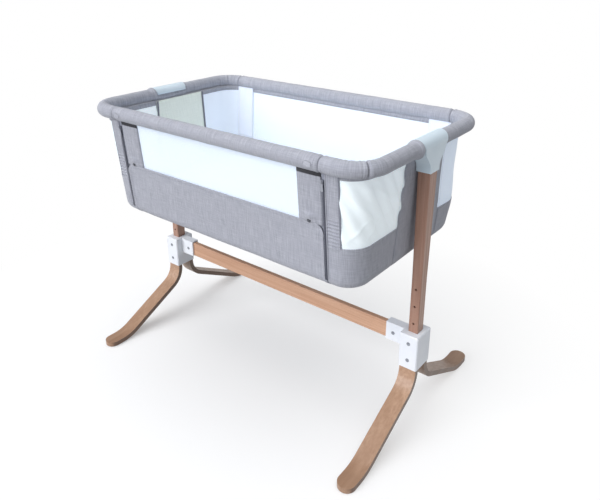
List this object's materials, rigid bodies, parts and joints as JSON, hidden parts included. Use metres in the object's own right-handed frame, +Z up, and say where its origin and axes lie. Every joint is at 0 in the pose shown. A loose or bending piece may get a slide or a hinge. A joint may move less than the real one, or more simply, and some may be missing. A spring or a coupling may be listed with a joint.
{
  "type": "bedside sleeper crib",
  "caption": "Bedside sleeper crib: soft fabric basket with mesh windows and padded rim, on height-adjustable wooden posts over bent-plywood legs, with a drop-down side",
  "frame": {"origin": "on the floor under the middle of the crib", "axes": "+X along the crib's length, -Y towards the drop side, +Z up"},
  "size_m": [0.964, 0.6508, 0.7932],
  "materials": {
    "beech": "clear satin lacquer on beech and beech plywood",
    "white_plastic": "satin moulded plastic",
    "grey_plastic": "satin moulded plastic",
    "grey_fabric": "grey melange woven polyester",
    "mesh_net": "fine white knitted mesh",
    "painted_steel": "grey powder coat",
    "bright_steel": "zinc plated",
    "zip_tape": "woven zip tape with coil teeth",
    "zip_metal": "nickel plated",
    "mattress_cover": "white knitted cover",
    "board": "hardboard",
    "felt": "felt"
  },
  "bodies": {
    "stand": {"bracket_left": "white_plastic", "bracket_right": "white_plastic", "leg_front_left": "beech", "leg_front_right": "beech", "leg_back_left": "beech", "leg_back_right": "beech", "crossbar": "beech", "socket_bolts": "bright_steel", "foot_pads": "felt"},
    "drop_side": {"drop_tube": "painted_steel", "drop_sleeve": "grey_fabric", "drop_mesh": "mesh_net", "drop_arm_left": "painted_steel", "drop_arm_right": "painted_steel", "drop_strip_left": "grey_fabric", "drop_strip_right": "grey_fabric", "drop_plug_left": "grey_plastic", "drop_plug_right": "grey_plastic"},
    "mattress": {"mattress": "mattress_cover"},
    "latch_tongue_left": {"latch_tongue_left": "bright_steel"},
    "latch_tongue_right": {"latch_tongue_right": "bright_steel"},
    "release_button_left": {"release_button_left": "grey_plastic"},
    "release_button_right": {"release_button_right": "grey_plastic"},
    "zip_slider_left": {"zip_slider_left": "zip_metal"},
    "zip_slider_right": {"zip_slider_right": "zip_metal"},
    "zip_pull_left": {"zip_pull_left": "zip_metal"},
    "zip_pull_right": {"zip_pull_right": "zip_metal"},
    "cradle": {"base_board": "board", "base_tube": "painted_steel", "floor_fabric": "grey_fabric", "head_screws": "bright_steel", "hinge_pins": "bright_steel", "latch_socket_left": "grey_plastic", "latch_socket_right": "grey_plastic", "mesh_back": "mesh_net", "mesh_back_corner_left": "mesh_net", "mesh_back_corner_right": "mesh_net", "mesh_corner_left": "mesh_net", "mesh_corner_right": "mesh_net", "post_head_left": "white_plastic", "post_head_right": "white_plastic", "post_left": "beech", "post_right": "beech", "rim_tube": "painted_steel", "sleeve_back": "grey_fabric", "sleeve_corner_left": "grey_fabric", "sleeve_corner_right": "grey_fabric", "sleeve_end_left": "grey_fabric", "sleeve_end_right": "grey_fabric", "upright_left": "painted_steel", "upright_right": "painted_steel", "upright_rivets": "bright_steel", "wall_back": "grey_fabric", "wall_corner_left": "grey_fabric", "wall_corner_right": "grey_fabric", "wall_end_left": "grey_fabric", "wall_end_right": "grey_fabric", "wall_front": "grey_fabric", "zip_tape_left": "zip_tape", "zip_tape_right": "zip_tape"}
  },
  "joints": [
    {"name": "height_slide", "type": "slide", "parent": "stand", "child": "cradle", "axis": [0, 0, 1], "range_m": [-0.1485, 0]},
    {"name": "drop_hinge", "type": "hinge", "parent": "cradle", "child": "drop_side", "pos_m": [0, -0.25236, 0.64], "axis": [1, 0, 0], "range_deg": [0, 159]},
    {"name": "mattress_lift", "type": "slide", "parent": "cradle", "child": "mattress", "axis": [0, 0, 1], "range_m": [0, 0.38]},
    {"name": "button_left", "type": "slide", "parent": "drop_side", "child": "release_button_left", "axis": [0, 1, 0], "range_m": [0, 0.003], "stiffness_N_per_m": 600, "springref_m": -0.002},
    {"name": "tongue_left", "type": "slide", "parent": "drop_side", "child": "latch_tongue_left", "axis": [1, 0, 0], "range_m": [0, 0.007]},
    {"name": "zip_left", "type": "slide", "parent": "cradle", "child": "zip_slider_left", "axis": [0, 0.0745, -0.9972], "range_m": [0, 0.235]},
    {"name": "zip_pull_left", "type": "hinge", "parent": "zip_slider_left", "child": "zip_pull_left", "pos_m": [-0.3458, -0.26389, 0.73192], "axis": [-1, 0, 0], "range_deg": [0, 130]},
    {"name": "button_right", "type": "slide", "parent": "drop_side", "child": "release_button_right", "axis": [0, 1, 0], "range_m": [0, 0.003], "stiffness_N_per_m": 600, "springref_m": -0.002},
    {"name": "tongue_right", "type": "slide", "parent": "drop_side", "child": "latch_tongue_right", "axis": [-1, 0, 0], "range_m": [0, 0.007]},
    {"name": "zip_right", "type": "slide", "parent": "cradle", "child": "zip_slider_right", "axis": [0, 0.0745, -0.9972], "range_m": [0, 0.235]},
    {"name": "zip_pull_right", "type": "hinge", "parent": "zip_slider_right", "child": "zip_pull_right", "pos_m": [0.3458, -0.26389, 0.73192], "axis": [-1, 0, 0], "range_deg": [0, 130]}
  ],
  "couplings": [
    {"joint": "tongue_left", "follows": "button_left", "ratio": 2.3333},
    {"joint": "tongue_right", "follows": "button_right", "ratio": 2.3333}
  ]
}
